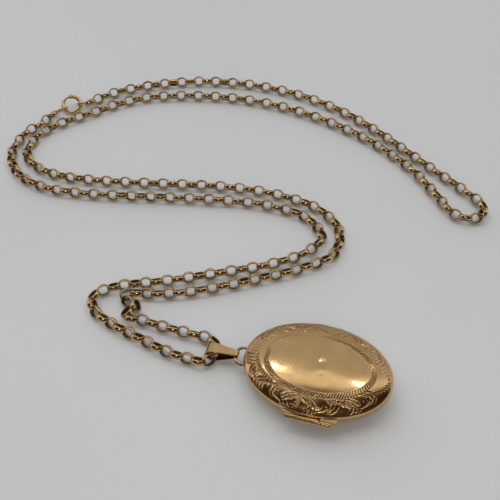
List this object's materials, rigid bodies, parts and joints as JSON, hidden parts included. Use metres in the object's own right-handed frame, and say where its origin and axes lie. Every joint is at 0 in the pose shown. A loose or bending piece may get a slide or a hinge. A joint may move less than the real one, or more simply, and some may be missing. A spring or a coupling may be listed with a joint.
{
  "type": "hinged oval locket on a chain",
  "caption": "Hinged oval locket with an engraved border, tapered bail, long round-link chain and bolt ring clasp, lying front up on a table.",
  "frame": {"origin": "middle of the small flat on the back cover, on the table", "axes": "+X along the locket's long axis away from the bail, -Y towards the hinge, +Z out of the front cover"},
  "size_m": [0.1146, 0.0907, 0.0063],
  "materials": {
    "locket_gold": "polished yellow gold, softly worn",
    "chain_gold": "yellow gold, dulled between the links",
    "window_plastic": "clear"
  },
  "bodies": {
    "back_half": {"back_cover": "locket_gold", "back_snap_lip": "locket_gold", "back_picture_frame": "locket_gold", "back_picture_window": "window_plastic", "back_knuckle": "locket_gold", "hinge_pin": "locket_gold", "hanging_ring": "locket_gold", "chain_run_near": "chain_gold", "chain_run_far": "chain_gold", "bolt_ring_body": "locket_gold", "bolt_ring_spring": "locket_gold", "clasp_jump_ring": "chain_gold", "end_ring": "chain_gold"},
    "front_half": {"front_cover": "locket_gold", "front_picture_frame": "locket_gold", "front_picture_window": "window_plastic", "front_knuckle_bail_end": "locket_gold", "front_knuckle_tip_end": "locket_gold"},
    "bail": {"bail": "locket_gold", "chain_at_bail": "chain_gold"},
    "trigger": {"bolt_ring_trigger": "locket_gold", "bolt_ring_thumb_pip": "locket_gold"}
  },
  "joints": [
    {"name": "locket_hinge", "type": "hinge", "parent": "back_half", "child": "front_half", "pos_m": [0, -0.0102, 0.00325], "axis": [1, 0, 0], "range_deg": [0, 170]},
    {"name": "bail_swing", "type": "hinge", "parent": "back_half", "child": "bail", "pos_m": [-0.01595, 0, 0.0021], "axis": [0, 1, 0], "range_deg": [-90, 110]},
    {"name": "trigger_turn", "type": "hinge", "parent": "back_half", "child": "trigger", "pos_m": [-0.0791, 0.0601, 0.00137], "axis": [0.2391, -0.329, 0.9135], "range_deg": [-35, 0], "stiffness_Nm_per_rad": 0.0002, "springref_deg": 17.19}
  ]
}
